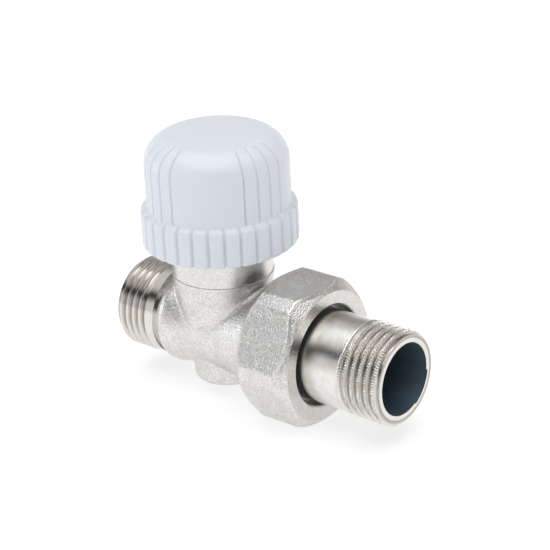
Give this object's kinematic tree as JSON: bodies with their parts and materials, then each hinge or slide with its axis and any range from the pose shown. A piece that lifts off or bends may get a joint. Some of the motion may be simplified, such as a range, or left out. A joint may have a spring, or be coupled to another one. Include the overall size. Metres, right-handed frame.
{
  "type": "lockshield radiator valve",
  "caption": "Straight lockshield radiator valve: nickel-plated body with male pipe thread, hexagon union nut and threaded tail, rising spindle under a white ribbed pull-off cap.",
  "frame": {"origin": "centre of the inlet's end face, on the pipe axis", "axes": "+X along the pipe axis from the inlet to the union tail, +Z along the spindle axis towards the cap"},
  "size_m": [0.0724, 0.0342, 0.0608],
  "materials": {
    "nickel_forging": "nickel plate over sand-blasted forging, machined on threads",
    "nickel_turned": "nickel plate, turned",
    "white_plastic": "satin white moulded plastic",
    "turned_brass": "bright turned brass",
    "black_rubber": "smooth seal rubber",
    "white_ptfe": "smooth waxy",
    "spring_steel": "stainless, stamped"
  },
  "bodies": {
    "body": {"valve_body": "nickel_forging", "bonnet": "turned_brass", "bonnet_o_ring": "black_rubber", "stem_o_ring": "black_rubber", "gland_o_ring": "black_rubber", "gland_washer": "white_ptfe", "gland_nut": "turned_brass"},
    "disc": {"jumper": "turned_brass", "jumper_circlip": "spring_steel", "disc_washer": "black_rubber", "washer_plate": "spring_steel", "washer_screw": "spring_steel"},
    "spindle": {"spindle": "turned_brass", "spindle_circlip": "spring_steel", "stop_washer": "white_ptfe"},
    "tail": {"union_tail": "nickel_turned", "tail_o_ring": "black_rubber"},
    "nut": {"union_nut": "nickel_forging"},
    "cap": {"cap": "white_plastic"}
  },
  "joints": [
    {"name": "cap_lift", "type": "slide", "parent": "body", "child": "cap", "axis": [0, 0, 1], "range_m": [0, 0.025]},
    {"name": "disc_lift", "type": "slide", "parent": "body", "child": "disc", "axis": [0, 0, 1], "range_m": [0, 0.003]},
    {"name": "spindle_turn", "type": "hinge", "parent": "disc", "child": "spindle", "pos_m": [0.024, 0, 0], "axis": [0, 0, 1], "range_deg": [0, 1080]},
    {"name": "union_draw", "type": "slide", "parent": "body", "child": "tail", "axis": [1, 0, 0], "range_m": [0, 0.00544]},
    {"name": "nut_turn", "type": "hinge", "parent": "tail", "child": "nut", "pos_m": [0.047, 0, 0], "axis": [1, 0, 0], "range_deg": [0, 1080]}
  ],
  "couplings": [
    {"joint": "spindle_turn", "follows": "disc_lift", "rad_per_m": 6283.2},
    {"joint": "union_draw", "follows": "nut_turn", "m_per_rad": 0.00028871}
  ]
}
